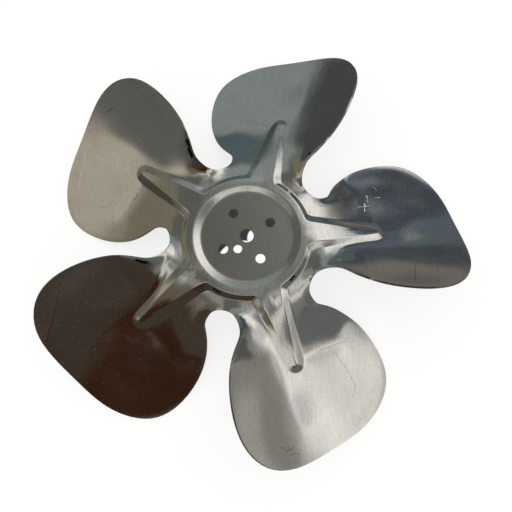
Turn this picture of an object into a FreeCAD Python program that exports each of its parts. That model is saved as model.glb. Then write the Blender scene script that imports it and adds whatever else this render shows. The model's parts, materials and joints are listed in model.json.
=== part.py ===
import FreeCAD, Part
import math
import os

# Axial fan blade: one disc of aluminium sheet, pressed into five twisted blades round a star-shaped boss.
# Millimetres and degrees. Origin on the fan's axis at the front face of the round disc that bolts to the motor,
# +Z along the axis towards the raised side of the star, +X along one spoke. Angles run anticlockwise from +X.
# The sheet is described by closed contour rings, from the flat disc in the middle to the cut edge of the blades.
# Each ring is a smooth closed curve, and the front and back of the sheet are skinned over the rings.

Vector = FreeCAD.Vector
BLADES = 5
SECTOR = math.radians(360.0 / BLADES)

SIZES = {
    # the whole fan and its sheet
    "tip_circle_diameter": 200.0,
    "sheet_thickness": 1.0,
    # the round recess that takes the motor's flange
    "disc_radius": 21.2,
    "recess_rim_radius": 25.3,
    "disc_margin": 4.0,
    "recess_depth": 1.0,
    # holes
    "shaft_hole_diameter": 6.4,
    "screw_circle_diameter": 25.0,
    "screw_hole_diameter": 4.6,
    "screw_first_angle": 27.5,
    "index_hole_diameter": 4.1,
    "index_hole_offset": 7.5,
    "index_hole_angle": 234.0,
    # the star: its foot on the sheet and its crest, both seen from the front
    "star_rise": 1.45,
    "foot_valley_radius": 30.6,
    "foot_root_half_width": 8.5,
    "foot_tip_reach": 65.9,
    "foot_tip_radius": 4.9,
    "crest_valley_radius": 28.0,
    "crest_root_half_width": 4.9,
    "crest_tip_reach": 62.0,
    "crest_tip_radius": 0.7,
    "crest_twist_share": 0.77,
    "corner_length": 2.5,
    "fan_evenness": 0.29,
    # how far out the cut edge's points below are drawn, and the twist of a blade about its spoke
    "edge_reach": 100.0,
    "bend_start": 22.9,
    "bend_end": 52.0,
    "blade_middle": 70.0,
    "middle_drop": 5.15,
    "spoke_fall": 0.0499,
    "spoke_hollow_radius": 235.7,
    "pitch_slope": 0.606,
    "pitch_gain": 0.105,
    "pitch_ease": 0.583,
    "camber_radius": 69.0,
    # how a blade differs inside its cut edge: its bend ends further out, and it is fuller on its trailing side
    "bend_lag": 4.8,
    "lag_share": 0.56,
    "belly_start": 27.0,
    "belly_end": 41.0,
    "belly_middle": 52.0,
    "belly_rise": -0.94,
    "belly_fall": -0.027,
    "belly_lean": 0.105,
    "belly_twist": 0.0056,
    "belly_hollow": 0.0009,
    # where neighbouring blades share the strip below the notch between them
    "notch_angle": 38.0,
    "notch_share_half_width": 6.0,
    "notch_floor_radius": 37.0,
}

# Cut edge of one blade: distance out along the spoke and to its side, anticlockwise from the notch before the
# blade to the notch after it. Each point faces a point of the star's outline.
EDGE = {
    "notch_floor": (29.1, -20.8),
    "lead_lip": (30.9, -18.9),
    "lead_entry": (33.8, -17.5),
    "lead_root": (37.1, -17.2),
    "lead_bend": (41.2, -18.1),
    "lead_neck": (45.6, -21.3),
    "lead_waist": (52.9, -25.7),
    "lead_flank": (65.2, -29.5),
    "lead_crown": (82.8, -29.4),
    "lead_shoulder": (97.0, -18.3),
    "outer_end": (99.7, 2.9),
    "trail_shoulder": (96.7, 22.5),
    "trail_crown": (83.8, 37.9),
    "trail_flank": (64.6, 38.5),
    "trail_waist": (51.2, 32.3),
    "trail_neck": (43.7, 24.7),
    "trail_bend": (40.5, 19.7),
    "trail_root": (37.2, 17.9),
    "trail_entry": (34.1, 17.6),
    "trail_lip": (31.1, 19.0),
}


def make_sheet(doc):
    """The sheet of driving dimensions, one named cell for each size."""
    sheet = doc.addObject("Spreadsheet::Sheet", "Sizes")
    named = dict(SIZES)
    for place, (along, across) in EDGE.items():
        named[place + "_along"] = along
        named[place + "_across"] = across
    for row, (alias, value) in enumerate(named.items(), start=1):
        sheet.set(f"A{row}", alias)
        sheet.set(f"B{row}", str(value))
        sheet.setAlias(f"B{row}", alias)
    doc.recompute()
    return sheet


def ease(t):
    """Smooth step from 0 to 1."""
    t = min(max(t, 0.0), 1.0)
    return t * t * (3.0 - 2.0 * t)


def belly(size, along, across):
    """How much higher a blade stands beside the star than its cut edge would have it."""
    out = along - size.belly_middle
    lean = (size.belly_lean + size.belly_twist * out) * across
    start = ease((math.hypot(along, across) - size.belly_start) / (size.belly_end - size.belly_start))
    return start * (size.belly_rise + size.belly_fall * out + size.belly_hollow * out**2 + lean)


def blade_rise(size, along, across, inside):
    """Height of one blade above the hub's plane: the spoke falls, the blade is pitched and cambered about it.

    Inside is 0 at the cut edge and 1 at the star.
    """
    beyond = along - size.blade_middle
    spoke = -size.middle_drop - size.spoke_fall * beyond + beyond**2 / (2.0 * size.spoke_hollow_radius)
    outward = beyond / size.blade_middle
    slope = size.pitch_slope + size.pitch_gain * outward - size.pitch_ease * outward**2
    blade = spoke - slope * across + across**2 / (2.0 * size.camber_radius)
    bend_end = size.bend_end + size.bend_lag * ease(inside / size.lag_share)
    bend = ease((along - size.bend_start) / (bend_end - size.bend_start))
    return bend * blade + ease(inside) * belly(size, along, across)


def share(size, inside, radius):
    """How far a point belongs to its own blade, from its distance inside the line along the notch."""
    half = size.notch_share_half_width
    beyond_floor = max(radius - size.notch_floor_radius, 0.0)
    return ease((inside + half + beyond_floor) / (2.0 * half))


def turned(x, y, angle):
    """A point seen from axes that are turned by an angle."""
    return x * math.cos(angle) + y * math.sin(angle), -x * math.sin(angle) + y * math.cos(angle)


def sheet_height(size, x, y, inside=1.0):
    """Height of the plain sheet, without star and recess, in the axes of the nearest spoke."""
    radius = math.hypot(x, y)
    after = math.radians(size.notch_angle)
    before = after - SECTOR
    own_after = share(size, x * math.sin(after) - y * math.cos(after), radius)
    own_before = share(size, y * math.cos(before) - x * math.sin(before), radius)
    rise = own_after * own_before * blade_rise(size, x, y, inside)
    rise += (1.0 - own_after) * blade_rise(size, *turned(x, y, SECTOR), inside)
    rise += (1.0 - own_before) * blade_rise(size, *turned(x, y, -SECTOR), inside)
    return size.recess_depth - size.star_rise + rise


def crest_height(size, x, y):
    """Height of the star's top, which twists less than the sheet beside it."""
    return size.recess_depth + blade_rise(size, x, y * size.crest_twist_share, 1.0)


def on_circle(radius, angle, along=0.0):
    """A plan point on a circle whose centre lies out along the spoke."""
    return Vector(along + radius * math.cos(angle), radius * math.sin(angle), 0.0)


def star_outline(size, valley_radius, root_half_width, tip_reach, tip_radius):
    """One sector of a star outline: valley arc, spoke side, round tip, and the same back on the other side."""
    root_angle = math.asin(root_half_width / valley_radius)
    root = on_circle(valley_radius, root_angle)
    centre = tip_reach - tip_radius
    reach = root.sub(Vector(centre, 0.0, 0.0))
    touch_angle = math.atan2(reach.y, reach.x) - math.acos(tip_radius / reach.Length)
    touch = on_circle(tip_radius, touch_angle, centre)
    side = [root.add(touch.sub(root).multiply(step / 5.0)) for step in (4, 3, 2, 1)]
    beside_root = on_circle(valley_radius, root_angle + size.corner_length / valley_radius)
    valley = on_circle(valley_radius, (math.atan2(beside_root.y, beside_root.x) + SECTOR / 2.0) / 2.0)
    half = [on_circle(tip_radius, touch_angle / 2.0, centre), touch] + side + [root, beside_root, valley]
    floor = on_circle(valley_radius, -SECTOR / 2.0)
    mirrored = [Vector(p.x, -p.y, 0.0) for p in reversed(half)]
    return rounded([floor] + mirrored + [Vector(tip_reach, 0.0, 0.0)] + half)


def rounded(sector):
    """A sector's outline with its corners rounded, each point eased towards its neighbours."""
    closing = FreeCAD.Rotation(Vector(0, 0, 1), math.degrees(SECTOR))
    before = [closing.inverted().multVec(sector[-1])] + sector[:-1]
    after = sector[1:] + [closing.multVec(sector[0])]
    return [b.add(Vector(p).multiply(4.0)).add(a).multiply(1.0 / 6.0) for b, p, a in zip(before, sector, after)]


def circle_outline(size, radius, count):
    """One sector of a circle, its points packed towards the spoke so that they lead into the star's arm."""
    half = count // 2
    points = []
    for i in range(-half, count - half):
        part = abs(i) / half
        spread = size.fan_evenness * part + (1.0 - size.fan_evenness) * part**4
        points.append(on_circle(radius, math.copysign(spread, i) * SECTOR / 2.0))
    return points


def blade_outline(size):
    """One sector of the cut edge, through the named edge points, with the blade drawn out to the tip circle."""
    neck = size.trail_neck_along
    stretch = (size.tip_circle_diameter / 2.0 - neck) / (size.edge_reach - neck)
    points = []
    for place in EDGE:
        along = getattr(size, place + "_along")
        across = getattr(size, place + "_across")
        points.append(Vector(along + max(along - neck, 0.0) * (stretch - 1.0), across, 0.0))
    return points


def between(low, high, fraction):
    """A plan ring part of the way from one ring to another."""
    return [Vector(a).multiply(1.0 - fraction).add(Vector(b).multiply(fraction)) for a, b in zip(low, high)]


def front_rings(size):
    """Contour rings of the front face within one sector, from the flat disc out to the cut edge."""
    crest = star_outline(
        size, size.crest_valley_radius, size.crest_root_half_width, size.crest_tip_reach, size.crest_tip_radius
    )
    foot = star_outline(
        size, size.foot_valley_radius, size.foot_root_half_width, size.foot_tip_reach, size.foot_tip_radius
    )
    inner = circle_outline(size, size.disc_radius - size.disc_margin, len(crest))
    disc_edge = circle_outline(size, size.disc_radius, len(crest))
    rim = circle_outline(size, size.recess_rim_radius, len(crest))
    edge = blade_outline(size)
    rings = [inner]

    def add(low, high, steps, height):
        for step in range(1, steps + 1):
            fraction = step / steps
            ring = between(low, high, fraction)
            rings.append([Vector(p.x, p.y, height(p, fraction)) for p in ring])

    def recess(p, fraction):
        return ease(fraction) * crest_height(size, p.x, p.y)

    def flank(p, fraction):
        top = crest_height(size, p.x, p.y)
        return top + ease(fraction) * (sheet_height(size, p.x, p.y) - top)

    add(inner, disc_edge, 3, lambda p, fraction: 0.0)
    add(disc_edge, rim, 5, recess)
    add(rim, crest, 5, lambda p, fraction: crest_height(size, p.x, p.y))
    add(crest, foot, 6, flank)
    add(foot, edge, 10, lambda p, fraction: sheet_height(size, p.x, p.y, 1.0 - fraction))
    return rings


def whole_ring(sector):
    """A sector's points repeated round the axis."""
    points = []
    for blade in range(BLADES):
        turn = FreeCAD.Rotation(Vector(0, 0, 1), math.degrees(SECTOR) * blade)
        points += [turn.multVec(p) for p in sector]
    return points


def back_rings(size, rings):
    """The front's rings moved down through the sheet, at right angles to it."""
    count = len(rings[0])
    back = []
    for row, ring in enumerate(rings):
        inner = rings[max(row - 1, 0)]
        outer = rings[min(row + 1, len(rings) - 1)]
        moved = []
        for i, point in enumerate(ring):
            around = ring[(i + 1) % count].sub(ring[i - 1])
            outward = outer[i].sub(inner[i])
            normal = outward.cross(around).normalize()
            moved.append(point.sub(normal.multiply(size.sheet_thickness)))
        back.append(moved)
    return back


def skin(rings, degree_out=3):
    """One smooth surface over closed rings, given as one patch per blade: it follows each ring's own curve."""
    stations = len(rings[0])
    parameters = [i / stations for i in range(stations + 1)]
    poles = []
    for ring in rings:
        curve = Part.BSplineCurve()
        curve.interpolate(Points=ring, PeriodicFlag=True, Parameters=parameters)
        poles.append(curve.getPoles())
    across_knots = len(rings) - degree_out + 1
    across_mults = [degree_out + 1] + [1] * (across_knots - 2) + [degree_out + 1]
    surface = Part.BSplineSurface()
    surface.buildFromPolesMultsKnots(
        poles,
        across_mults,
        curve.getMultiplicities(),
        [float(k) for k in range(across_knots)],
        curve.getKnots(),
        False,
        True,
        degree_out,
        curve.Degree,
    )
    patches = []
    for blade in range(BLADES):
        patch = surface.copy()
        patch.segment(0.0, across_knots - 1.0, blade / BLADES, (blade + 1) / BLADES)
        patches.append(patch.toShape())
    return patches


def middle(patches):
    """The flat face that closes a skin inside its innermost ring."""
    inner = [min(patch.Edges, key=lambda e: max(math.hypot(v.X, v.Y) for v in e.Vertexes)) for patch in patches]
    return Part.Face(Part.Wire(Part.__sortEdges__(inner)))


def pressed_sheet(doc, size):
    """The pressed and trimmed sheet before its holes are punched."""
    front = [whole_ring(ring) for ring in front_rings(size)]
    back = back_rings(size, front)
    front_skin = skin(front)
    back_skin = skin(back)
    cut_edge = skin([front[-1], back[-1]], degree_out=1)
    faces = front_skin + back_skin + cut_edge + [middle(front_skin), middle(back_skin)]
    shell = Part.makeShell(faces)
    shell.sewShape()
    solid = Part.Solid(shell)
    if solid.Volume < 0:
        solid.reverse()
    feature = doc.addObject("Part::Feature", "pressed_sheet")
    feature.Shape = solid
    return feature


def punch(doc, name, diameter, distance=None, angle=None):
    """A round punch along the axis, with its size and place taken from the sheet."""
    tool = doc.addObject("Part::Cylinder", name)
    tool.setExpression("Radius", f"Sizes.{diameter} / 2")
    tool.setExpression("Height", "Sizes.sheet_thickness * 3")
    tool.setExpression("Placement.Base.z", "-Sizes.sheet_thickness * 2")
    if distance:
        tool.setExpression("Placement.Base.x", f"{distance} * cos({angle})")
        tool.setExpression("Placement.Base.y", f"{distance} * sin({angle})")
    return tool


def check(doc):
    """Stop if any object failed or holds no valid shape."""
    for item in doc.Objects:
        if "Invalid" in item.State or "Error" in item.State:
            raise RuntimeError(f"{item.Label} failed: {item.State}")
        shape = getattr(item, "Shape", None)
        if shape is not None and (shape.isNull() or not shape.isValid()):
            raise RuntimeError(f"{item.Label} has no valid shape")


doc = FreeCAD.newDocument("fan_blade")
sizes = make_sheet(doc)
blank = pressed_sheet(doc, sizes)

punches = [punch(doc, "shaft_hole", "shaft_hole_diameter")]
for number in range(4):
    angle = f"(Sizes.screw_first_angle + {90 * number}) * 1deg"
    punches.append(
        punch(doc, f"screw_hole_{number + 1}", "screw_hole_diameter", "Sizes.screw_circle_diameter / 2", angle)
    )
punches.append(
    punch(doc, "index_hole", "index_hole_diameter", "Sizes.index_hole_offset", "Sizes.index_hole_angle * 1deg")
)
holes = doc.addObject("Part::MultiFuse", "holes")
holes.Shapes = punches

blade = doc.addObject("Part::Cut", "fan_blade")
blade.Base = blank
blade.Tool = holes
blade.Label = "fan_blade"
doc.recompute()
check(doc)

os.makedirs("parts", exist_ok=True)
blade.Shape.exportStep("parts/fan_blade.step")
box = blade.Shape.BoundBox
print("solids", len(blade.Shape.Solids), "volume", round(blade.Shape.Volume, 1), "faces", len(blade.Shape.Faces))
print("x", box.XMin, box.XMax, "y", box.YMin, box.YMax, "z", box.ZMin, box.ZMax)
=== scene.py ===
# %% [markdown]
# # A pressed aluminium fan blade
#
# This lesson dresses one five-blade axial fan blade around its fixed CAD frame. The real object is one disc
# of bare rolled aluminium, cut to shape, pressed into a star-shaped boss and twisted into five blades.
# There is nothing else on it, so the whole look rests on three things: a clean surface that reflects
# smoothly, a metal that shows its rolling grain and its handling marks, and something for the metal to
# reflect.

# %% Frame
import json
import math

import bmesh
import bpy
import numpy as np
from mathutils import Matrix, Vector, noise


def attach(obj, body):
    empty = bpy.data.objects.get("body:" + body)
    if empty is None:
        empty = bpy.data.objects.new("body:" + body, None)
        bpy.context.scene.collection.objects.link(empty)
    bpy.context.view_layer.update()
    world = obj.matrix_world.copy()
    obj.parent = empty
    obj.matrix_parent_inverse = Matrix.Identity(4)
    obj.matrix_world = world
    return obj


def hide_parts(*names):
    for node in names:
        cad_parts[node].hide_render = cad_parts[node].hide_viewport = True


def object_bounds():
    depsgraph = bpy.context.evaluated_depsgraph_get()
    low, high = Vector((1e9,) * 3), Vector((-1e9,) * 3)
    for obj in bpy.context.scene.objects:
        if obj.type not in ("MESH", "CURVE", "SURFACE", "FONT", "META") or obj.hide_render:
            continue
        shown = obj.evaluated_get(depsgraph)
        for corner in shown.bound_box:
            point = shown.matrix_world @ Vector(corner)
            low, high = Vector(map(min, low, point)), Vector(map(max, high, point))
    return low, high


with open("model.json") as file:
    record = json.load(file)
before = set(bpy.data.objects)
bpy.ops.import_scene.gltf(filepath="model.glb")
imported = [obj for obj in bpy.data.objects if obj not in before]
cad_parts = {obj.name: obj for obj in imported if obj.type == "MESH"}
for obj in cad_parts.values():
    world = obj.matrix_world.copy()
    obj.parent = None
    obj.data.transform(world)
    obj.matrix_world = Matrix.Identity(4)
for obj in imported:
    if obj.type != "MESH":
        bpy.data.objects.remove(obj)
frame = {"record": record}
cad_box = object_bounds()
print("CAD box in mm:", [[round(1000 * c, 1) for c in corner] for corner in cad_box])

# %% [markdown]
# ## Sizes
#
# Everything is in metres, in the frame of the CAD part: the fan's axis is Z, and the flat face of the disc
# is at height zero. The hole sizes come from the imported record. The other sizes are the ones that the part
# was drawn with.

# %% Sizes
MM = 0.001
BLADES = 5
SECTOR = math.radians(360.0 / BLADES)
SHEET_THICKNESS = 1.0 * MM
DISC_RADIUS = 21.2 * MM
DISC_MARGIN = 4.0 * MM
RECESS_RIM_RADIUS = 25.3 * MM
RECESS_DEPTH = 1.0 * MM
STAR_RISE = 1.45 * MM
STAR_FOOT = {"valley": 30.6 * MM, "half_width": 8.5 * MM, "reach": 65.9 * MM, "tip": 4.9 * MM}
STAR_CREST = {"valley": 28.0 * MM, "half_width": 4.9 * MM, "reach": 62.0 * MM, "tip": 0.7 * MM}
CORNER_LENGTH = 2.5 * MM
CREST_TWIST_SHARE = 0.77
FAN_EVENNESS = 0.29

mounts = {mount["name"]: mount for mount in frame["record"]["mounts"]}
SHAFT_HOLE_RADIUS = mounts["shaft_bore"]["dims"]["r_mm"] * MM
SCREW_CIRCLE_RADIUS = mounts["screw_circle"]["dims"]["pcd_mm"] / 2 * MM
SCREW_HOLE_RADIUS = mounts["screw_circle"]["dims"]["hole_r_mm"] * MM
SCREW_FIRST_ANGLE = math.radians(27.5)
INDEX_HOLE_RADIUS = mounts["index_bore"]["dims"]["r_mm"] * MM
INDEX_HOLE_PLACE = Vector(mounts["index_bore"]["pos_m"][:2] + [0.0])
print("holes in mm:", 2000 * SHAFT_HOLE_RADIUS, 2000 * SCREW_HOLE_RADIUS, 2000 * INDEX_HOLE_RADIUS)

# %% [markdown]
# ## The cut edge
#
# Seen along the axis, one blade's edge is a closed leaf between two notches. Twenty points along it are
# enough, if a smooth curve runs through them. A cubic curve whose slope and bend carry over from point to
# point does this for any closed row of points, and the same curve later draws the star. The finished edge
# is kept a hair inside the CAD part's edge, so that the dressed part never stands out of its box.

# %% The cut edge
CUT_EDGE = np.array([
    (29.1, -20.8), (30.9, -18.9), (33.8, -17.5), (37.1, -17.2), (41.2, -18.1), (45.6, -21.3), (52.9, -25.7),
    (65.2, -29.5), (82.8, -29.4), (97.0, -18.3), (99.7, 2.9), (96.7, 22.5), (83.8, 37.9), (64.6, 38.5),
    (51.2, 32.3), (43.7, 24.7), (40.5, 19.7), (37.2, 17.9), (34.1, 17.6), (31.1, 19.0),
]) * MM
EDGE_SHARE = 0.9996
STATIONS = len(CUT_EDGE)
FINE_STEPS = 7


def turned(points, angle):
    """Plan points turned about the axis."""
    cos, sin = math.cos(angle), math.sin(angle)
    return points @ np.array([(cos, sin), (-sin, cos)])


def closed_curve(sector):
    """A fine row of points on the smooth closed curve through one sector's points, kept for that sector."""
    points = np.vstack([turned(sector, SECTOR * blade) for blade in range(BLADES)])
    count = len(points)
    after, before = np.roll(points, -1, axis=0), np.roll(points, 1, axis=0)
    neighbours = np.roll(np.eye(count), 1, axis=0) + np.roll(np.eye(count), -1, axis=0)
    slopes = np.linalg.solve(4 * np.eye(count) + neighbours, 3 * (after - before))
    next_slopes = np.roll(slopes, -1, axis=0)
    rows = []
    for step in range(FINE_STEPS):
        t = step / FINE_STEPS
        bends = (2 * t**3 - 3 * t**2 + 1, t**3 - 2 * t**2 + t, 3 * t**2 - 2 * t**3, t**3 - t**2)
        rows.append(bends[0] * points + bends[1] * slopes + bends[2] * after + bends[3] * next_slopes)
    fine = np.stack(rows, axis=1).reshape(-1, 2)
    return fine[: STATIONS * FINE_STEPS + 1]


cut_edge = closed_curve(CUT_EDGE) * EDGE_SHARE
tip_radius = np.hypot(*cut_edge.T).max()
print("cut edge of one blade:", len(cut_edge), "points, out to", round(1000 * tip_radius, 1), "mm")

# %% [markdown]
# ## The star and the recess
#
# The boss is a five-armed star. Its foot, where the flank meets the sheet, and its crest, where the flank
# meets the raised top, are both drawn as an arc in the valley, a straight arm side and a round tip. The
# press leaves no sharp corner, so every point is eased towards its neighbours. The round recess needs only
# circles, with points packed towards the arms so that the net of the surface runs smoothly into them.

# %% The star and the recess


def on_circle(radius, angle, along=0.0):
    """A plan point on a circle whose centre lies out along the spoke."""
    return np.array((along + radius * math.cos(angle), radius * math.sin(angle)))


def star_outline(valley, half_width, reach, tip):
    """One sector of a star's outline, from valley to valley round the arm's tip."""
    root_angle = math.asin(half_width / valley)
    root = on_circle(valley, root_angle)
    centre = reach - tip
    to_root = root - (centre, 0.0)
    touch_angle = math.atan2(to_root[1], to_root[0]) - math.acos(tip / np.hypot(*to_root))
    touch = on_circle(tip, touch_angle, centre)
    side = [root + (touch - root) * step / 5 for step in (4, 3, 2, 1)]
    beside_angle = root_angle + CORNER_LENGTH / valley
    valley_arc = [on_circle(valley, beside_angle), on_circle(valley, (beside_angle + SECTOR / 2) / 2)]
    half = np.array([on_circle(tip, touch_angle / 2, centre), touch] + side + [root] + valley_arc)
    mirrored = half[::-1] * (1, -1)
    sector = np.vstack([[on_circle(valley, -SECTOR / 2)], mirrored, [(reach, 0.0)], half])
    before = np.vstack([turned(sector[-1:], -SECTOR), sector[:-1]])
    after = np.vstack([sector[1:], turned(sector[:1], SECTOR)])
    return closed_curve((before + 4 * sector + after) / 6)


def circle_outline(radius):
    """One sector of a circle, its points packed towards the spoke."""
    half = STATIONS // 2
    part = np.abs(np.arange(-half, half)) / half
    spread = FAN_EVENNESS * part + (1 - FAN_EVENNESS) * part**4
    angles = np.copysign(spread, np.arange(-half, half)) * SECTOR / 2
    return closed_curve(np.stack([radius * np.cos(angles), radius * np.sin(angles)], axis=1))


star_foot = star_outline(*STAR_FOOT.values())
star_crest = star_outline(*STAR_CREST.values())
recess_rim = circle_outline(RECESS_RIM_RADIUS)
disc_edge = circle_outline(DISC_RADIUS)
disc_inner = circle_outline(DISC_RADIUS - DISC_MARGIN)
arm_reach, crest_reach = star_foot[:, 0].max(), star_crest[:, 0].max()
print("star arm reaches", round(1000 * arm_reach, 1), "mm, its crest", round(1000 * crest_reach, 1))

# %% [markdown]
# ## The bend and the pitch of a blade
#
# The plan says where each point of the sheet is seen from the front, so only its height is missing, and one
# formula gives it. Near the hub the sheet is flat. Past the notches it bends into a blade that is pitched
# about its spoke, hollow like a spoon and a little twisted. Beside the star the bend comes a little later
# and the blade is a little fuller on one side, because the star holds the metal back. The value called
# inside says how close a point is to the star: one at the star's foot, nothing at the cut edge.

# %% The bend and the pitch of a blade
BEND_START, BEND_END = 22.9 * MM, 52.0 * MM
BLADE_MIDDLE = 70.0 * MM
MIDDLE_DROP = 5.15 * MM
SPOKE_FALL = 0.0499
SPOKE_HOLLOW_RADIUS = 235.7 * MM
PITCH_SLOPE, PITCH_GAIN, PITCH_EASE = 0.606, 0.105, 0.583
CAMBER_RADIUS = 69.0 * MM
BEND_LAG, LAG_SHARE = 4.8 * MM, 0.56
BELLY_START, BELLY_END, BELLY_MIDDLE = 27.0 * MM, 41.0 * MM, 52.0 * MM
BELLY_RISE, BELLY_FALL, BELLY_HOLLOW = -0.94 * MM, -0.027, 0.9
BELLY_LEAN, BELLY_TWIST = 0.105, 5.6


def ease(t):
    """Smooth step from 0 to 1."""
    t = np.clip(t, 0.0, 1.0)
    return t * t * (3 - 2 * t)


def belly(along, across):
    """How much higher a blade stands beside the star than its cut edge would have it."""
    out = along - BELLY_MIDDLE
    start = ease((np.hypot(along, across) - BELLY_START) / (BELLY_END - BELLY_START))
    lean = (BELLY_LEAN + BELLY_TWIST * out) * across
    return start * (BELLY_RISE + BELLY_FALL * out + BELLY_HOLLOW * out**2 + lean)


def blade_rise(plan, inside):
    """Height of one blade above the hub's plane, in the axes of its own spoke. Inside is 1 at the star."""
    along, across = plan.T
    beyond = along - BLADE_MIDDLE
    spoke = -MIDDLE_DROP - SPOKE_FALL * beyond + beyond**2 / (2 * SPOKE_HOLLOW_RADIUS)
    outward = beyond / BLADE_MIDDLE
    slope = PITCH_SLOPE + PITCH_GAIN * outward - PITCH_EASE * outward**2
    bend_end = BEND_END + BEND_LAG * ease(inside / LAG_SHARE)
    bend = ease((along - BEND_START) / (bend_end - BEND_START))
    blade = spoke - slope * across + across**2 / (2 * CAMBER_RADIUS)
    return bend * blade + ease(inside) * belly(along, across)


middle_height = blade_rise(np.array([(BLADE_MIDDLE, 0.0)]), 0.0)[0]
print("a blade's middle stands", round(-1000 * middle_height, 1), "mm below the hub")

# %% [markdown]
# ## Folds and margins
#
# A real pressing keeps traces of how the metal flowed, and in bright metal they show at once, because a
# slope that changes by a degree moves a reflection by two. Two faint folds run through each blade: one from
# the notch outwards in front of the spoke, and one across behind it, near the end of the arm. The margins
# also keep turning right up to the trimmed edge. A fold is a line that the sheet leaves on both sides on a
# slope that soon dies out.

# %% Folds and margins
OUTWARD_FOLD = {"slope": 0.092, "softness": 1.45 * MM, "width": 7.9 * MM}
OUTWARD_LINE, OUTWARD_START, OUTWARD_END = 7.05 * MM, 30.0 * MM, 95.0 * MM
OUTWARD_CURL, OUTWARD_CURL_PLACE, OUTWARD_CURL_LENGTH = 7.32 * MM, 35.0 * MM, 6.3 * MM
OUTWARD_TILT, OUTWARD_FADES = 1.16, (6.0 * MM, 10.0 * MM)
CROSS_FOLD = {"slope": 0.09, "softness": 1.05 * MM, "width": 7.7 * MM}
CROSS_LINE, CROSS_END = 60.0 * MM, 28.0 * MM
CROSS_FADES = (5.0 * MM, 8.0 * MM)
TURN_START, TURN_SHARE = 40.0 * MM, 0.274
TURN_EASE, TURN_EASE_IN_FRONT = 20.0 * MM, 15.0 * MM
TURN_BEHIND, TURN_IN_FRONT, TURN_GAIN = 4.0 * MM, 2.4 * MM, 11.8


def fold(off_line, slope, softness, width):
    """The height of a fold at a distance from its line."""
    out = np.sqrt(off_line**2 + softness**2) - softness
    return slope * out * np.exp(-((off_line / width) ** 2))


def press_folds(plan):
    """The two faint folds of one blade."""
    along, across = plan.T
    curl = np.exp(-(along - OUTWARD_CURL_PLACE) / OUTWARD_CURL_LENGTH)
    off_line = (across + OUTWARD_LINE + OUTWARD_CURL * curl) / np.sqrt(1 + (OUTWARD_TILT * curl) ** 2)
    fades = ease((along - OUTWARD_START) / OUTWARD_FADES[0]) * ease((OUTWARD_END - along) / OUTWARD_FADES[1])
    outward = fades * fold(off_line, **OUTWARD_FOLD)
    fades = ease(across / CROSS_FADES[0]) * ease((CROSS_END - across) / CROSS_FADES[1])
    return outward + fades * fold(along - CROSS_LINE, **CROSS_FOLD)


def edge_turn(plan, inside):
    """How the margins keep turning up to the trimmed edge: full behind the spoke, hollow in front of it."""
    along, across = plan.T
    near = inside * np.exp(-((inside / TURN_SHARE) ** 2)) * ease((along - TURN_START) / TURN_EASE)
    behind = TURN_BEHIND * ease(across / TURN_EASE) * (1 + TURN_GAIN * (along - BLADE_MIDDLE))
    in_front = TURN_IN_FRONT * ease(-across / TURN_EASE_IN_FRONT)
    return near * (behind - in_front)


behind_spoke = np.array([(BLADE_MIDDLE, TURN_EASE)])
highest_turn = edge_turn(behind_spoke, np.linspace(0.0, 1.0)).max()
print("margin behind the spoke is fuller by", round(1000 * highest_turn, 2), "mm")

# %% [markdown]
# ## How high the sheet stands
#
# Neighbouring blades share the strip between them at the foot of a notch, so each point asks how far it
# belongs to its own blade and to the ones beside it. The star's crest twists less than the sheet next to
# it, which is what makes its flanks taller on one side of an arm than on the other.

# %% How high the sheet stands
NOTCH_ANGLE = math.radians(38.0)
SHARE_HALF_WIDTH = 6.0 * MM
NOTCH_FLOOR_RADIUS = 37.0 * MM


def share(inside, radius):
    """How far a point belongs to its own blade, from its distance inside the line along the notch."""
    beyond_floor = np.maximum(radius - NOTCH_FLOOR_RADIUS, 0.0)
    return ease((inside + SHARE_HALF_WIDTH + beyond_floor) / (2 * SHARE_HALF_WIDTH))


def sheet_height(plan, inside=1.0):
    """Height of the plain sheet, without star and recess."""
    x, y = plan.T
    radius = np.hypot(x, y)
    after, before = NOTCH_ANGLE, NOTCH_ANGLE - SECTOR
    own_after = share(x * math.sin(after) - y * math.cos(after), radius)
    own_before = share(y * math.cos(before) - x * math.sin(before), radius)
    rise = 0.0
    for belongs, angle in ((own_after * own_before, 0.0), (1 - own_after, -SECTOR), (1 - own_before, SECTOR)):
        seen = turned(plan, angle)
        rise = rise + belongs * (blade_rise(seen, inside) + press_folds(seen))
    return RECESS_DEPTH - STAR_RISE + rise + edge_turn(plan, inside)


def crest_height(plan):
    """Height of the star's top."""
    return RECESS_DEPTH + blade_rise(plan * (1, CREST_TWIST_SHARE), 1.0)


tip = CUT_EDGE[np.argmax(CUT_EDGE[:, 0])]
print("blade tip stands at", round(1000 * sheet_height(tip[None, :], 0.0)[0], 1), "mm")

# %% [markdown]
# ## The net of one blade
#
# One blade's share of the sheet can be seen as a net. Its columns run outwards from the disc to the cut
# edge, and its rows are contours: the disc's edge, the rim of the recess, the star's crest, its foot and
# the cut edge, with more rows between them where the sheet bends quickly. A flat grid is laid down and each
# of its rows is moved onto its contour. Four more turned copies give the whole sheet, and their common
# columns are merged.

# %% The net of one blade
ROWS = {"disc": 3, "recess": 10, "top": 6, "flank": 12, "blade": 32}
STAR_ROUNDING = (0.13, 0.22)
RIM_ROUNDING = (0.13, 0.26)
MERGE_DISTANCE = 0.002 * MM


def flank_profile(part, rounding):
    """The share of a pressed flank's height at a place across it: straight, with a rounded start and end."""
    start, end = rounding
    slope = 1 / (1 - (start + end) / 2)
    if part < start:
        return slope * part**2 / (2 * start)
    if part > 1 - end:
        return 1 - slope * (1 - part) ** 2 / (2 * end)
    return slope * (part - start / 2)


def contour(low, high, part, height):
    """A row of the net, part of the way from one outline to the next."""
    plan = low * (1 - part) + high * part
    return np.column_stack([plan, height(plan, part)])


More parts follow.
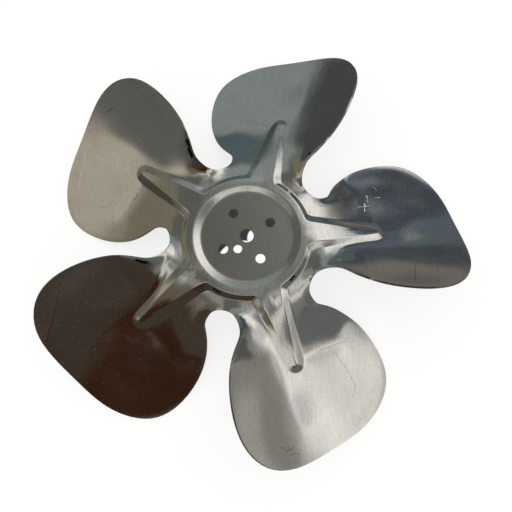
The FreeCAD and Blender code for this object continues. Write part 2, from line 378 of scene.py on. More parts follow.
def flank_height(plan, part):
    """From the crest down to the sheet."""
    top = crest_height(plan)
    return top + flank_profile(part, STAR_ROUNDING) * (sheet_height(plan) - top)


def recess_height(plan, part):
    """From the flat disc up to the crest."""
    return flank_profile(part, RIM_ROUNDING) * crest_height(plan)


bands = [
    ("disc", disc_inner, disc_edge, lambda plan, part: 0.0 * plan[:, 0]),
    ("recess", disc_edge, recess_rim, recess_height),
    ("top", recess_rim, star_crest, lambda plan, part: crest_height(plan)),
    ("flank", star_crest, star_foot, flank_height),
    ("blade", star_foot, cut_edge, lambda plan, part: sheet_height(plan, 1.0 - part)),
]
net = [contour(disc_inner, disc_edge, 0.0, bands[0][3])]
for name, low, high, height in bands:
    net += [contour(low, high, (row + 1) / ROWS[name], height) for row in range(ROWS[name])]
net = np.array(net)
print("net of one blade:", net.shape[0], "rows of", net.shape[1], "points")

sheet_mesh = bmesh.new()
bmesh.ops.create_grid(sheet_mesh, x_segments=net.shape[1] - 1, y_segments=net.shape[0] - 1, size=1.0)
sheet_mesh.verts.ensure_lookup_table()
laid = sorted(sheet_mesh.verts, key=lambda vert: (round(vert.co.y, 6), round(vert.co.x, 6)))
for vert, place in zip(laid, net.reshape(-1, 3)):
    vert.co = place
one_blade = sheet_mesh.verts[:] + sheet_mesh.edges[:] + sheet_mesh.faces[:]
bmesh.ops.spin(
    sheet_mesh, geom=one_blade, cent=(0, 0, 0), axis=(0, 0, 1), angle=SECTOR * (BLADES - 1), steps=BLADES - 1,
    use_duplicate=True, use_merge=False,
)
bmesh.ops.remove_doubles(sheet_mesh, verts=sheet_mesh.verts, dist=MERGE_DISTANCE)
open_edges = sum(edge.is_boundary for edge in sheet_mesh.edges)
print("whole net:", len(sheet_mesh.faces), "faces,", open_edges, "open edges")

# %% [markdown]
# ## The punched disc
#
# The middle of the disc is flat, so it needs no net. The open ring inside it and one circle for each hole
# are filled together: the fill leaves the holes open, as the punch does. The middle hole takes the shaft,
# four holes take screws, and the small one between them is for a locating pin.

# %% The punched disc
HOLE_SEGMENTS = 48
holes = [(Vector((0, 0, 0)), SHAFT_HOLE_RADIUS), (INDEX_HOLE_PLACE, INDEX_HOLE_RADIUS)]
for quarter in range(4):
    place = on_circle(SCREW_CIRCLE_RADIUS, SCREW_FIRST_ANGLE + quarter * math.pi / 2)
    holes.append((Vector((*place, 0)), SCREW_HOLE_RADIUS))
inner_ring = [e for e in sheet_mesh.edges if e.is_boundary and e.verts[0].co.length < DISC_RADIUS]
rims = list(inner_ring)
for place, radius in holes:
    punched = bmesh.ops.create_circle(
        sheet_mesh, cap_ends=False, segments=HOLE_SEGMENTS, radius=radius, matrix=Matrix.Translation(place)
    )
    rims += list({edge for vert in punched["verts"] for edge in vert.link_edges})
filled = bmesh.ops.triangle_fill(sheet_mesh, use_beauty=True, edges=rims, normal=(0, 0, 1))
bmesh.ops.recalc_face_normals(sheet_mesh, faces=sheet_mesh.faces)
if sum(face.normal.z * face.calc_area() for face in sheet_mesh.faces) < 0:
    bmesh.ops.reverse_faces(sheet_mesh, faces=sheet_mesh.faces)
print("disc filled with", sum(isinstance(item, bmesh.types.BMFace) for item in filled["geom"]), "faces")

# %% [markdown]
# ## Small unevenness
#
# Thin pressed sheet is never perfectly true: it keeps shallow waves of a few hundredths of a millimetre.
# They can't be seen in the outline, but they bend the reflections, and without them the metal looks
# computed. The waves come from a smooth noise over the plan and differ from blade to blade. They fade out
# on the flat disc and at the tips. All heights are taken in by half a percent here, which keeps the tips
# inside the CAD part's box.

# %% Small unevenness
HEIGHT_SHARE = 0.9945
WAVE_LENGTH = 26.0 * MM
WAVE_HEIGHT = 0.05 * MM
WAVE_PLACE = Vector((3.1, 7.7, 0.4))
WAVE_START, WAVE_FULL, WAVE_FADE, WAVE_END = 26.0 * MM, 66.0 * MM, 77.0 * MM, 92.0 * MM
for vert in sheet_mesh.verts:
    x, y, height = vert.co
    radius = math.hypot(x, y)
    starting = ease((radius - WAVE_START) / (WAVE_FULL - WAVE_START))
    fade = float(starting * ease((WAVE_END - radius) / (WAVE_END - WAVE_FADE)))
    wave = noise.noise(Vector((x, y, 0.0)) / WAVE_LENGTH + WAVE_PLACE)
    vert.co.z = HEIGHT_SHARE * height + fade * WAVE_HEIGHT * wave
print("highest point of the front:", round(1000 * max(vert.co.z for vert in sheet_mesh.verts), 2), "mm")

# %% [markdown]
# ## The rolling direction
#
# The sheet was rolled before it was cut, so its grain runs one way across all five blades. A flat map,
# turned to that direction, stores it on the mesh. The shader later takes the direction of its stretched
# highlights from it.

# %% The rolling direction
ROLLING_ANGLE = math.radians(84.0)
MAP_SCALE, MAP_CENTRE = 10.0, 0.5
rolling_map = sheet_mesh.loops.layers.uv.new("rolling")
cos, sin = math.cos(ROLLING_ANGLE), math.sin(ROLLING_ANGLE)
for face in sheet_mesh.faces:
    face.smooth = True
    for loop in face.loops:
        x, y, height = loop.vert.co
        lengthways, sideways = x * cos + y * sin, y * cos - x * sin
        loop[rolling_map].uv = (lengthways * MAP_SCALE + MAP_CENTRE, sideways * MAP_SCALE + MAP_CENTRE)
print("rolling direction:", round(math.degrees(ROLLING_ANGLE)), "degrees from the first spoke")

# %% [markdown]
# ## Thickness and cut edges
#
# So far the sheet is a skin: its front. Solidify adds the back one sheet's thickness below, square to the
# surface, and walls along the cut edge and the holes. A narrow bevel on those walls stands for the slightly
# rounded edge that a punch leaves, and gives the thin bright line that runs along each blade.

# %% Thickness and cut edges
EDGE_ROUNDING = 0.28 * MM
ROUNDED_FROM = math.radians(50.0)
sheet_data = bpy.data.meshes.new("fan_sheet")
sheet_mesh.to_mesh(sheet_data)
sheet_mesh.free()
fan_sheet = bpy.data.objects.new("fan_sheet", sheet_data)
bpy.context.scene.collection.objects.link(fan_sheet)

wall = fan_sheet.modifiers.new("sheet thickness", "SOLIDIFY")
wall.thickness = SHEET_THICKNESS
wall.offset = -1.0
wall.use_even_offset = True
rounding = fan_sheet.modifiers.new("punched edge", "BEVEL")
rounding.width = EDGE_ROUNDING
rounding.segments = 2
rounding.limit_method = "ANGLE"
rounding.angle_limit = ROUNDED_FROM
rounding.harden_normals = True
print("sheet skin:", len(sheet_data.vertices), "points")

# %% [markdown]
# ## Building blocks for materials
#
# A material is a small network of nodes, and every input of a node takes either a plain value or a link
# from another node. These helpers keep the later cells short. The last one opens a node group, which is
# like a function: it is built once, it has named inputs, and it puts out a mask or a value.

# %% Building blocks for materials
SMOOTH = {"interpolation_type": "SMOOTHSTEP"}


def node(tree, kind, values=None, **settings):
    """A new node with its settings, its inputs filled with plain values or links."""
    made = tree.nodes.new(kind)
    for name, value in settings.items():
        setattr(made, name, value)
    for name, value in (values or {}).items():
        if isinstance(value, bpy.types.NodeSocket):
            tree.links.new(value, made.inputs[name])
        else:
            made.inputs[name].default_value = value
    return made


def plain_math(tree, operation, *values, clamp=False):
    """The result of a sum with plain numbers."""
    made = node(tree, "ShaderNodeMath", dict(enumerate(values)), operation=operation, use_clamp=clamp)
    return made.outputs["Value"]


def vector_math(tree, operation, *values):
    """The result of a sum with vectors: a plain number for a product, a length or a distance."""
    made = node(tree, "ShaderNodeVectorMath", dict(enumerate(values)), operation=operation)
    return made.outputs["Value" if operation in ("DOT_PRODUCT", "LENGTH", "DISTANCE") else "Vector"]


def mapped(tree, value, start, end, low=0.0, high=1.0, **settings):
    """A value brought from one range to another, straight or with a smooth step."""
    values = {"Value": value, "From Min": start, "From Max": end, "To Min": low, "To Max": high}
    return node(tree, "ShaderNodeMapRange", values, **settings).outputs["Result"]


def cloudy(tree, place, scale, detail, roughness=0.5):
    """A smooth noise in space, as a value around one half."""
    values = {"Vector": place, "Scale": scale, "Detail": detail, "Roughness": roughness}
    return node(tree, "ShaderNodeTexNoise", values).outputs["Fac"]


def mixed(tree, mask, under, over):
    """A value or colour that goes from one to another where the mask is set."""
    kind = "RGBA" if isinstance(under, tuple) or isinstance(over, tuple) else "FLOAT"
    mix = node(tree, "ShaderNodeMix", data_type=kind)
    tree.links.new(mask, mix.inputs["Factor"])
    slots = [socket for socket in mix.inputs if socket.enabled and socket.name in "AB"]
    for socket, value in zip(slots, (under, over)):
        if isinstance(value, bpy.types.NodeSocket):
            tree.links.new(value, socket)
        else:
            socket.default_value = value
    return [socket for socket in mix.outputs if socket.enabled][0]


def new_group(name, inputs, outputs):
    """An empty shader node group, with its input and output nodes."""
    tree = bpy.data.node_groups.new(name, "ShaderNodeTree")
    for label, kind, value in inputs:
        socket = tree.interface.new_socket(label, in_out="INPUT", socket_type=kind)
        socket.default_value = value
    for label, kind in outputs:
        tree.interface.new_socket(label, in_out="OUTPUT", socket_type=kind)
    return tree, tree.nodes.new("NodeGroupInput").outputs, tree.nodes.new("NodeGroupOutput").inputs


print("node groups so far:", len(bpy.data.node_groups))

# %% [markdown]
# ## Grain and dust
#
# The finish is metal with no paint or lacquer. Up close it has a fine grain from the rolls, which is a
# noise stretched along the rolling direction. On the dark blades a few pale specks of dust show too. Each
# is a point of a cell noise in space: only the points that happen to lie close to the sheet are seen, which
# keeps them sparse.

# %% Grain and dust
GRAIN_SCALE, GRAIN_STRETCH = 1400.0, 0.05
GRAIN_DETAIL, GRAIN_ROUGHNESS = 4.0, 0.6
DUST_SCALE, DUST_SIZE = 480.0, 0.13


def rolled_grain_group():
    """Fine streaks along the rolling direction, as a value around one half."""
    tree, given, result = new_group(
        "rolled grain",
        [("Scale", "NodeSocketFloat", GRAIN_SCALE), ("Stretch", "NodeSocketFloat", GRAIN_STRETCH)],
        [("Streaks", "NodeSocketFloat")],
    )
    place = node(tree, "ShaderNodeTexCoord").outputs["Object"]
    turn = node(tree, "ShaderNodeMapping", {"Vector": place, "Rotation": (0, 0, -ROLLING_ANGLE)})
    stretch = node(tree, "ShaderNodeCombineXYZ", {"X": given["Stretch"], "Y": 1.0, "Z": 1.0})
    squeezed = vector_math(tree, "MULTIPLY", turn.outputs["Vector"], stretch.outputs["Vector"])
    streaks = cloudy(tree, squeezed, given["Scale"], GRAIN_DETAIL, GRAIN_ROUGHNESS)
    tree.links.new(streaks, result["Streaks"])
    return tree


def dust_group():
    """Sparse specks, as a mask."""
    tree, given, result = new_group(
        "dust specks",
        [("Scale", "NodeSocketFloat", DUST_SCALE), ("Size", "NodeSocketFloat", DUST_SIZE)],
        [("Mask", "NodeSocketFloat")],
    )
    place = node(tree, "ShaderNodeTexCoord").outputs["Object"]
    cells = node(tree, "ShaderNodeTexVoronoi", {"Vector": place, "Scale": given["Scale"]})
    speck = mapped(tree, cells.outputs["Distance"], 0.0, given["Size"], 1.0, 0.0, **SMOOTH)
    tree.links.new(speck, result["Mask"])
    return tree


rolled_grain = rolled_grain_group()
dust = dust_group()
print("node groups so far:", len(bpy.data.node_groups))

# %% [markdown]
# ## Handling marks
#
# The blades have been handled: there are nicks that shine, dark rubs, long hairlines and a few black specks
# of press grease at the notches. Each mark is a short line on the plan of the part, so one node group can
# draw them all: it measures how far a point is from the line between two places, and gives a mask that is
# one on the line and nothing beyond its width. A little noise lets the line wander and breaks it up, as a
# real scratch skips.

# %% Handling marks
WANDER_SCALE, WANDER = 420.0, 1.1 * MM
SKIP_SCALE, SKIP_END = 1500.0, 0.62


def scratch_line_group():
    """The mask of one scratch, from its start and its length as a vector, both in metres."""
    tree, given, result = new_group(
        "scratch line",
        [
            ("Start", "NodeSocketVector", (0, 0, 0)),
            ("Length", "NodeSocketVector", (0, 0, 0)),
            ("Width", "NodeSocketFloat", 0.0004),
            ("Breaks", "NodeSocketFloat", 0.5),
        ],
        [("Mask", "NodeSocketFloat")],
    )
    place = node(tree, "ShaderNodeTexCoord").outputs["Object"]
    flat = vector_math(tree, "MULTIPLY", place, (1, 1, 0))
    wander = node(tree, "ShaderNodeTexNoise", {"Vector": flat, "Scale": WANDER_SCALE, "Detail": 1.0})
    centred = vector_math(tree, "SUBTRACT", wander.outputs["Color"], (0.5, 0.5, 0.5))
    swayed = vector_math(tree, "ADD", flat, vector_math(tree, "MULTIPLY", centred, (WANDER, WANDER, 0)))
    offset = vector_math(tree, "SUBTRACT", swayed, given["Start"])
    along = vector_math(tree, "DOT_PRODUCT", offset, given["Length"])
    square = vector_math(tree, "DOT_PRODUCT", given["Length"], given["Length"])
    part = plain_math(tree, "DIVIDE", along, square, clamp=True)
    nearest = node(tree, "ShaderNodeVectorMath", {0: given["Length"], "Scale": part}, operation="SCALE")
    gap = vector_math(tree, "DISTANCE", offset, nearest.outputs["Vector"])
    fade = mapped(tree, gap, 0.0, given["Width"], 1.0, 0.0, **SMOOTH)
    broken = mapped(tree, cloudy(tree, place, SKIP_SCALE, 2.0), given["Breaks"], SKIP_END)
    tree.links.new(plain_math(tree, "MULTIPLY", fade, broken), result["Mask"])
    return tree


scratch_line = scratch_line_group()
print("node groups so far:", len(bpy.data.node_groups))

# %% [markdown]
# ## Where the marks are
#
# The marks follow the real fan: a cross-shaped nick on one blade, a long hairline on another, dark rubs
# beside the arms and grease where the press tool gripped. Each is its start and end on the plan and its
# half width, all in millimetres, and how strongly it shows.

# %% Where the marks are
MARK_BREAKS = {"bright": 0.38, "dark": 0.36, "grease": 0.10}
BRIGHT_MARKS = [
    ((61.2, 22.3), (60.8, 17.5), 0.42, 1.0), ((64.8, 19.8), (68.0, 20.3), 0.36, 0.9),
    ((55.1, 14.5), (61.0, 15.7), 0.36, 0.7), ((59.2, 16.9), (58.3, 12.3), 0.45, 1.0),
    ((65.3, 27.2), (66.8, 24.6), 0.40, 0.5), ((-88.4, -37.0), (-75.4, -38.0), 0.35, 0.08),
    ((-77.4, -35.5), (-73.7, -35.9), 0.35, 0.1), ((-56.5, -43.4), (-51.1, -45.8), 1.20, 0.06),
    ((-55.4, -45.2), (-51.8, -44.0), 0.90, 0.08), ((-38.1, -53.2), (-34.4, -59.3), 0.35, 0.1),
    ((60.1, -60.2), (53.3, -77.5), 0.45, 0.6), ((44.8, -82.3), (41.2, -90.8), 0.40, 0.5),
    ((-80.7, 51.7), (-87.0, 31.0), 0.45, 0.6), ((31.4, -51.1), (34.0, -53.9), 0.60, 0.8),
    ((35.6, -52.1), (39.2, -51.0), 0.50, 0.7),
]
DARK_MARKS = [
    ((-76.6, -20.6), (-87.0, -43.9), 0.35, 0.8), ((-43.5, -44.8), (-41.3, -45.8), 0.50, 0.8),
    ((-40.9, -46.7), (-39.1, -47.7), 0.50, 0.8), ((30.3, -53.2), (36.2, -51.7), 0.45, 0.8),
    ((36.2, -51.7), (43.8, -49.8), 0.40, 0.8), ((37.4, -54.0), (42.5, -61.5), 0.35, 0.6),
    ((42.5, -61.5), (46.5, -69.7), 0.35, 0.5), ((46.5, -69.7), (44.5, -73.8), 0.30, 0.4),
    ((10.2, -89.7), (12.6, -91.5), 0.40, 0.8), ((12.6, -91.5), (15.6, -90.8), 0.40, 0.8),
    ((13.7, -93.1), (17.9, -93.3), 0.45, 0.9), ((73.3, -18.6), (67.9, -28.0), 0.40, 0.8),
    ((82.1, -20.3), (80.2, -23.5), 0.35, 0.6), ((67.1, -22.7), (64.8, -26.8), 0.35, 0.5),
    ((41.6, 84.0), (45.1, 79.2), 0.50, 0.6), ((-66.6, 65.2), (-61.1, 66.3), 0.50, 0.7),
    ((-62.5, 16.5), (-57.9, 21.9), 0.40, 0.7), ((-59.1, 20.0), (-53.4, 27.7), 0.45, 0.7),
    ((-57.3, 24.3), (-54.5, 25.9), 0.50, 0.6), ((-78.9, 23.0), (-70.0, 22.9), 0.35, 0.4),
    ((-70.0, 22.9), (-67.1, 25.5), 0.35, 0.4), ((-88.7, 29.1), (-86.1, 26.3), 0.40, 0.6),
]
GREASE_SPECKS = [
    ((-48.1, -11.1), (-44.8, -11.6), 0.9, 1.0), ((31.1, 36.4), (31.1, 36.5), 0.9, 1.0),
    ((-25.8, 44.6), (-24.8, 41.6), 0.9, 1.0), ((-25.3, 41.7), (-24.3, 38.6), 1.2, 1.0),
    ((18.7, -22.0), (20.7, -20.3), 0.8, 0.9), ((-15.9, -24.0), (-12.8, -25.9), 0.7, 0.7),
    ((27.0, 26.1), (27.0, 26.2), 0.4, 0.9), ((27.0, 23.6), (27.0, 23.7), 0.4, 0.9),
    ((29.9, 10.0), (29.9, 10.1), 0.4, 0.9), ((-3.6, -47.1), (-3.6, -47.2), 0.5, 0.9),
]


def drawn_marks(tree, marks, breaks):
    """The strongest of all the marks of one kind, as one mask."""
    strongest = None
    for start, end, width, strength in marks:
        values = {
            "Start": Vector((*start, 0)) * MM,
            "Length": Vector((end[0] - start[0], end[1] - start[1], 0)) * MM,
            "Width": width * MM,
            "Breaks": breaks,
        }
        mark = node(tree, "ShaderNodeGroup", values, node_tree=scratch_line)
        faint = plain_math(tree, "MULTIPLY", mark.outputs["Mask"], strength)
        strongest = faint if strongest is None else plain_math(tree, "MAXIMUM", strongest, faint)
    return strongest


print("marks:", len(BRIGHT_MARKS), "bright,", len(DARK_MARKS), "dark,", len(GREASE_SPECKS), "specks")

# %% [markdown]
# ## The finish of the sheet
#
# The metal is one Principled shader with full metallic. Its roughness follows a cloudy noise, as a wiped
# surface does, and is much higher on the flat disc, which the press left dull. The highlights are stretched
# a little across the rolling direction. Each noise is given by its scale, its detail and its roughness.

# %% The finish of the sheet
STRETCHED_HIGHLIGHTS = 0.3
CLOUDS, CLOUD_RANGE = (55.0, 5.0, 0.65), (0.35, 0.7)
WIPED_ROUGHNESS = (0.08, 0.14)
DULL_ROUGHNESS = 0.36
DULL_UP_TO, BRIGHT_FROM = 20.6 * MM, 21.6 * MM

aluminium = bpy.data.materials.new("bare rolled aluminium")
aluminium.use_nodes = True
tree = aluminium.node_tree
link = tree.links.new
metal = tree.nodes["Principled BSDF"]
metal.inputs["Anisotropic"].default_value = STRETCHED_HIGHLIGHTS

place = node(tree, "ShaderNodeTexCoord").outputs["Object"]
wiped = mapped(tree, cloudy(tree, place, *CLOUDS), *CLOUD_RANGE, *WIPED_ROUGHNESS)
from_axis = vector_math(tree, "LENGTH", vector_math(tree, "MULTIPLY", place, (1, 1, 0)))
on_disc = mapped(tree, from_axis, DULL_UP_TO, BRIGHT_FROM, 1.0, 0.0)
print("roughness:", WIPED_ROUGHNESS, "on the blades and", DULL_ROUGHNESS, "on the disc")

# %% [markdown]
# ## Marks on the finish
#
# Bright scratches are torn metal: rough, hardly metallic and almost white, so that they catch light from
# everywhere. Dust shows the same way, only fainter. Dark rubs stay fairly smooth, and grease only darkens.
# The mask of the grease is doubled and clamped, because a thick blob has no faint edge.

# %% Marks on the finish
DUST_STRENGTH = 0.35
GREASE_GAIN = 2.0
TORN_ROUGHNESS, RUBBED_ROUGHNESS = 0.50, 0.25
TORN_METALLIC = 0.1

dusted = node(tree, "ShaderNodeGroup", node_tree=dust).outputs["Mask"]
bright_marks = drawn_marks(tree, BRIGHT_MARKS, MARK_BREAKS["bright"])
bright_marks = plain_math(tree, "MAXIMUM", plain_math(tree, "MULTIPLY", dusted, DUST_STRENGTH), bright_marks)
dark_marks = drawn_marks(tree, DARK_MARKS, MARK_BREAKS["dark"])
grease = drawn_marks(tree, GREASE_SPECKS, MARK_BREAKS["grease"])
grease = plain_math(tree, "MULTIPLY", grease, GREASE_GAIN, clamp=True)

roughness = mixed(tree, on_disc, wiped, DULL_ROUGHNESS)
roughness = mixed(tree, bright_marks, roughness, TORN_ROUGHNESS)
link(mixed(tree, dark_marks, roughness, RUBBED_ROUGHNESS), metal.inputs["Roughness"])
link(mixed(tree, bright_marks, 1.0, TORN_METALLIC), metal.inputs["Metallic"])
print("nodes in the metal so far:", len(tree.nodes))

# %% [markdown]
# ## Colour and relief
#
# The colour is a plain grey with a warm trace, clouded by a slow noise and mottled by the grain, duller on
# the disc, and then changed by the marks. A little bump from the grain and from a fine pebbling breaks up
# the mirror. The direction of the stretched highlights comes from the flat map of the rolling direction.

# %% Colour and relief
CLEAN_COLOUR, CLOUDED_COLOUR = (0.82, 0.82, 0.80, 1), (0.72, 0.72, 0.70, 1)
DISC_COLOUR = (0.41, 0.42, 0.39, 1)
TORN_COLOUR = (0.97, 0.97, 0.96, 1)
RUBBED_COLOUR = (0.10, 0.10, 0.10, 1)
GREASE_COLOUR = (0.012, 0.012, 0.013, 1)
STAINS, STAIN_RANGE = (30.0, 6.0, 0.7), (0.3, 0.75)
PEBBLES, PEBBLE_SHARE = (1100.0, 3.0, 0.6), 0.8
MOTTLE_RANGE, MOTTLING = (0.7, 1.3), (0.90, 1.10)
RELIEF_STRENGTH, RELIEF_DEPTH = 0.16, 0.1 * MM

stained = mapped(tree, cloudy(tree, place, *STAINS), *STAIN_RANGE)
colour = mixed(tree, stained, CLEAN_COLOUR, CLOUDED_COLOUR)
colour = mixed(tree, on_disc, colour, DISC_COLOUR)
streaks = node(tree, "ShaderNodeGroup", node_tree=rolled_grain).outputs["Streaks"]
pebbles = cloudy(tree, place, *PEBBLES)
mottled = mapped(tree, plain_math(tree, "ADD", streaks, pebbles), *MOTTLE_RANGE, *MOTTLING)
speckled = node(tree, "ShaderNodeVectorMath", {0: colour, "Scale": mottled}, operation="SCALE")
colour = mixed(tree, bright_marks, speckled.outputs["Vector"], TORN_COLOUR)
colour = mixed(tree, dark_marks, colour, RUBBED_COLOUR)
link(mixed(tree, grease, colour, GREASE_COLOUR), metal.inputs["Base Color"])

relief = plain_math(tree, "MULTIPLY_ADD", pebbles, PEBBLE_SHARE, streaks)
bump = node(tree, "ShaderNodeBump", {"Strength": RELIEF_STRENGTH, "Distance": RELIEF_DEPTH, "Height": relief})
across_grain = node(tree, "ShaderNodeTangent", direction_type="UV_MAP", uv_map="rolling")
link(bump.outputs["Normal"], metal.inputs["Normal"])
link(across_grain.outputs["Tangent"], metal.inputs["Tangent"])
print("nodes in the metal:", len(tree.nodes))

# %% [markdown]
# ## On the frame
#
# The sheet has no joints. It rides on the root body, it takes the place of the frame's one piece, and its
# one material is put on its mesh.

# %% On the frame
fan_sheet.data.materials.append(aluminium)
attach(fan_sheet, "root")
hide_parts("fan_blade")
print("dressed:", fan_sheet.name, "in", aluminium.name)

# %% [markdown]
# ## Floor
#
# The fan lies on its five low blade corners, so the floor touches the lowest point of the CAD box.

# %% Floor
FLOOR_SIZE = 3.0
floor_mesh = bmesh.new()
bmesh.ops.create_grid(floor_mesh, x_segments=1, y_segments=1, size=FLOOR_SIZE)
bmesh.ops.translate(floor_mesh, verts=floor_mesh.verts, vec=(0, 0, cad_box[0][2]))
floor_data = bpy.data.meshes.new("floor")
floor_mesh.to_mesh(floor_data)
floor_mesh.free()
floor = bpy.data.objects.new("floor", floor_data)
bpy.context.scene.collection.objects.link(floor)
print("floor stands", round(-1000 * cad_box[0][2], 1), "mm below the hub's front")

# %% [markdown]
# ## How bright the floor looks
#
# The real floor is burnt out to plain white, which a matte floor in this soft light would not be. So the
# camera sees it glow. The glow stops where the hub shades the floor, which leaves a disc of painted shade
# over the matte floor's own shadow: the holes of the disc look down on that spot, and the real ones are dark
# apart from two lit patches. The glow fades in with a smooth step past the shade's edge, and each patch is
# a small disc of glow that is put back into the shade, a painted pool of light.

# %% How bright the floor looks
SHADE_INNER, SHADE_OUTER = 27.0 * MM, 34.0 * MM
# Two painted pools of light on the floor under the hub, each a place and a radius in millimetres.
PAINTED_LIGHT_PATCHES = [((-3.2, -10.5), 13.5), ((6.0, 3.9), 6.2)]
PATCH_SOFTNESS = 0.8 * MM
OPEN_GLOW, PATCH_GLOW = 0.78, 0.96

paper = bpy.data.materials.new("pale floor")
paper.use_nodes = True
tree = paper.node_tree
tree.nodes.remove(tree.nodes["Principled BSDF"])
place = node(tree, "ShaderNodeTexCoord").outputs["Object"]
flat = vector_math(tree, "MULTIPLY", place, (1, 1, 0))
from_axis = vector_math(tree, "LENGTH", flat)
# Painted shade: no glow in a disc under the hub. Painted light: two glowing discs inside that disc.
glow_with_painted_shade_and_light = mapped(tree, from_axis, SHADE_INNER, SHADE_OUTER, 0.0, OPEN_GLOW, **SMOOTH)
for patch_place, radius in PAINTED_LIGHT_PATCHES:
    from_patch = vector_math(tree, "DISTANCE", flat, Vector((*patch_place, 0.0)) * MM)
    outer, inner = radius * MM + PATCH_SOFTNESS / 2, radius * MM - PATCH_SOFTNESS / 2
    glow_with_painted_shade_and_light = plain_math(tree, "MAXIMUM", glow_with_painted_shade_and_light, mapped(tree, from_patch, outer, inner, 0.0, PATCH_GLOW, **SMOOTH))
print("lit patches under the hub:", len(PAINTED_LIGHT_PATCHES))

# %% [markdown]
# ## What the floor shows to whom
#
# Three kinds of rays meet the floor. The camera sees matte grey with the glow on top. Soft light sees the
# matte grey alone, so that the sheet's shadow and its back stay believable. The metal's mirror rays pass
# through it and meet the studio, because the real metal shows dark surroundings low down too, and no white
# floor.

# %% What the floor shows to whom
FLOOR_COLOUR, WHITE = (0.30, 0.30, 0.30, 1), (1.0, 1.0, 1.0, 1)
rays = node(tree, "ShaderNodeLightPath").outputs
matte = node(tree, "ShaderNodeBsdfDiffuse", {"Color": FLOOR_COLOUR}).outputs[0]
glow = node(tree, "ShaderNodeEmission", {"Color": WHITE, "Strength": glow_with_painted_shade_and_light}).outputs[0]
both = node(tree, "ShaderNodeAddShader", {0: matte, 1: glow}).outputs[0]
seen = node(tree, "ShaderNodeMixShader", {0: rays["Is Camera Ray"], 1: matte, 2: both}).outputs[0]
clear = node(tree, "ShaderNodeBsdfTransparent").outputs[0]
mirrored = node(tree, "ShaderNodeMixShader", {0: rays["Is Glossy Ray"], 1: seen, 2: clear}).outputs[0]
tree.links.new(mirrored, tree.nodes["Material Output"].inputs["Surface"])
floor.data.materials.append(paper)
print("nodes in the floor:", len(tree.nodes))

# %% [markdown]
# ## The studio that the metal reflects
#
# A mirror-like part shows its surroundings, so the studio is part of the look. A photographer stands white
# and dark cards round shiny metal. Here each card is a soft-edged rectangle on the world's dome. A node
# group draws one: it turns the direction looked in into an angle sideways and an angle upwards from the
# card's middle, and both have to be within the card's size.

# %% The studio that the metal reflects


def studio_panel_group():
    """The mask of one soft rectangular panel, from the direction looked in and the panel's own axes."""
    tree, given, result = new_group(
        "studio panel",
        [
            ("Facing", "NodeSocketVector", (0, 0, 1)),
            ("Sideways", "NodeSocketVector", (1, 0, 0)),
            ("Upwards", "NodeSocketVector", (0, 1, 0)),
            ("Half width", "NodeSocketFloat", 0.3),
            ("Half height", "NodeSocketFloat", 0.3),
            ("Softness", "NodeSocketFloat", 0.1),
        ],
        [("Mask", "NodeSocketFloat")],
    )
    look = node(tree, "ShaderNodeTexCoord").outputs["Generated"]
    front = vector_math(tree, "DOT_PRODUCT", look, given["Facing"])
    masks = []
    for axis, half in (("Sideways", "Half width"), ("Upwards", "Half height")):
        part = vector_math(tree, "DOT_PRODUCT", look, given[axis])
        angle = plain_math(tree, "ABSOLUTE", plain_math(tree, "ARCTAN2", part, front))
        outside = plain_math(tree, "SUBTRACT", angle, given[half])
        blur = plain_math(tree, "DIVIDE", outside, given["Softness"])
        masks.append(mapped(tree, blur, -0.5, 0.5, 1.0, 0.0, **SMOOTH))
    tree.links.new(plain_math(tree, "MULTIPLY", *masks), result["Mask"])
    return tree


studio_panel = studio_panel_group()
print("node groups:", len(bpy.data.node_groups))

# %% [markdown]
# ## The cards
#
# Each card has a name, then its direction round the fan and its height above the level of the floor, its
# roll, half width, half height and softness, all in degrees, and its plain colour. The large ones came
# first, one for each broad reflection in the metal. Later ones hang in front of earlier ones and add the
# narrow dark bands.

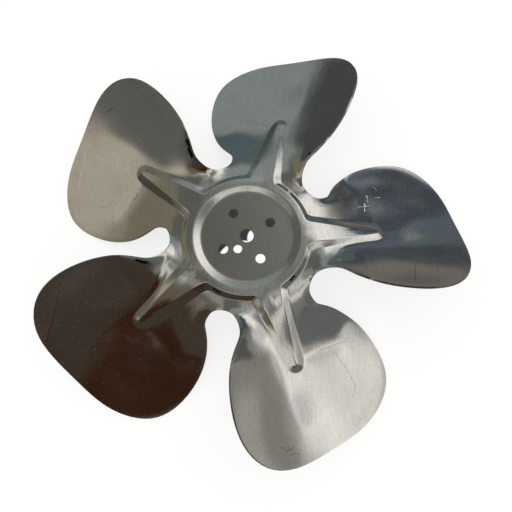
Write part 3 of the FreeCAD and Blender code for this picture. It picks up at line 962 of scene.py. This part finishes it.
# %% The cards
PANELS = {
    "dome top": (-27, 78, 44, 10, 25, 16, (0.66, 0.67, 0.62)),
    "north light": (55, 49, 5, 21, 19, 15, (0.75, 0.78, 0.75)),
    "north west card": (109, 37, -52, 44, 13, 16, (0.24, 0.27, 0.26)),
    "north west dark": (146, 11, -1, 14, 7, 10, (0.061, 0.068, 0.068)),
    "north blue dark": (94, 10, -5, 27, 15, 16, (0.091, 0.12, 0.13)),
    "north grey low": (131, -4, -32, 14, 17, 11, (0.062, 0.069, 0.067)),
    "north east dark": (60, 18, 2, 9, 19, 2, (0.1, 0.12, 0.15)),
    "north low brown": (76, -12, 1, 24, 4, 2, (0.18, 0.17, 0.15)),
    "west low brown": (160, 28, 12, 18, 20, 5, (0.19, 0.17, 0.12)),
    "west warm card": (-170, 47, -25, 14, 11, 16, (0.44, 0.4, 0.32)),
    "west dark": (-163, -5, -56, 29, 9, 7, (0.062, 0.056, 0.045)),
    "south dark": (-91, 48, -10, 36, 15, 6, (0.039, 0.014, 0.0056)),
    "south low charcoal": (-104, 21, -36, 34, 27, 11, (0.057, 0.044, 0.032)),
    "south east brown": (-62, 33, 16, 9, 19, 6, (0.05, 0.037, 0.027)),
    "south east grey": (-1, 49, 23, 27, 26, 4, (0.19, 0.19, 0.19)),
    "east low grey": (11, 21, -21, 18, 28, 10, (0.24, 0.23, 0.21)),
    "east window": (-23, 59, 53, 5, 25, 6, (0.7, 0.67, 0.62)),
    "north east window": (26, 48, -44, 13, 28, 16, (0.95, 0.91, 0.85)),
    "east low white": (-3, 9, 30, 6, 22, 2, (0.38, 0.36, 0.32)),
    "south east low": (-12, 21, -17, 18, 7, 3, (0.56, 0.56, 0.54)),
    "south west high strip": (-126, 63, -38, 6, 18, 2, (0.14, 0.11, 0.075)),
    "north east slate strip": (53, 24, -53, 4, 18, 3, (0.055, 0.064, 0.078)),
    "west high grey strip": (-175, 81, -16, 5, 17, 2, (0.26, 0.26, 0.22)),
    "south high strip one": (-98, 58, -44, 3, 10, 4, (0.047, 0.025, 0.015)),
    "north dark strip": (73, 35, 59, 3, 8, 7, (0.09, 0.1, 0.1)),
    "north high grey strip": (89, 75, -19, 4, 8, 3, (0.24, 0.24, 0.23)),
    "south high strip two": (-96, 58, -49, 3, 13, 5, (0.041, 0.02, 0.012)),
    "north east low strip": (58, 4, 60, 3, 15, 4, (0.063, 0.071, 0.078)),
    "south east dark card": (-28, 29, 5, 16, 16, 6, (0.13, 0.14, 0.13)),
    "south high strip three": (-101, 57, -57, 3, 16, 5, (0.034, 0.013, 0.0061)),
    "north low strip": (75, 4, 60, 5, 8, 5, (0.061, 0.067, 0.073)),
    "east soft grey card": (20, 40, 13, 7, 17, 4, (0.59, 0.59, 0.58)),
}
DOME_COLOUR = (0.12, 0.12, 0.11)
print("studio cards:", len(PANELS))

# %% [markdown]
# ## Hanging the cards
#
# The cards are laid over each other in order, on a dome of one dark grey. Only the metal's mirror rays see
# them. The camera sees the plain white background of a product photo, and soft light comes from everywhere
# alike, so the cards can be moved for the metal's sake without changing anything else.

# %% Hanging the cards
SOFT_LIGHT = (0.90, 0.90, 0.88, 1)
world = bpy.data.worlds.new("studio")
bpy.context.scene.world = world
world.use_nodes = True
tree = world.node_tree
last = (*DOME_COLOUR, 1)
for name, (around, up, roll, half_width, half_height, softness, tone) in PANELS.items():
    turn = Matrix.Rotation(math.radians(around), 3, "Z") @ Matrix.Rotation(math.radians(-up), 3, "Y")
    turn = turn @ Matrix.Rotation(math.radians(roll), 3, "X")
    values = {
        "Facing": turn @ Vector((1, 0, 0)),
        "Sideways": turn @ Vector((0, 1, 0)),
        "Upwards": turn @ Vector((0, 0, 1)),
        "Half width": math.radians(half_width),
        "Half height": math.radians(half_height),
        "Softness": math.radians(softness),
    }
    panel = node(tree, "ShaderNodeGroup", values, node_tree=studio_panel, label=name)
    last = mixed(tree, panel.outputs["Mask"], last, (*tone, 1))
rays = node(tree, "ShaderNodeLightPath").outputs
lighting = mixed(tree, rays["Is Diffuse Ray"], last, SOFT_LIGHT)
tree.links.new(mixed(tree, rays["Is Camera Ray"], lighting, WHITE), tree.nodes["Background"].inputs["Color"])
print("nodes in the world:", len(tree.nodes))

# %% [markdown]
# ## Camera
#
# The photo was taken from close above the fan, a little below its middle, with a wide lens.

# %% Camera
SENSOR_WIDTH, LENS_LENGTH = 36.0, 28.315
CAMERA_PLACE = (4.009 * MM, -51.148 * MM, 179.189 * MM)
CAMERA_ANGLES = (12.949, 0.688, -2.7)
NEAREST_SEEN = 10.0 * MM
camera_data = bpy.data.cameras.new("camera")
camera_data.sensor_width = SENSOR_WIDTH
camera_data.lens = LENS_LENGTH
camera_data.clip_start = NEAREST_SEEN
camera = bpy.data.objects.new("camera", camera_data)
camera.location = CAMERA_PLACE
camera.rotation_euler = [math.radians(angle) for angle in CAMERA_ANGLES]
bpy.context.scene.collection.objects.link(camera)
bpy.context.scene.camera = camera
bpy.context.scene.view_settings.view_transform = "Standard"
print("camera stands", round(1000 * camera.location.z), "mm above the hub")

bpy.context.view_layer.update()
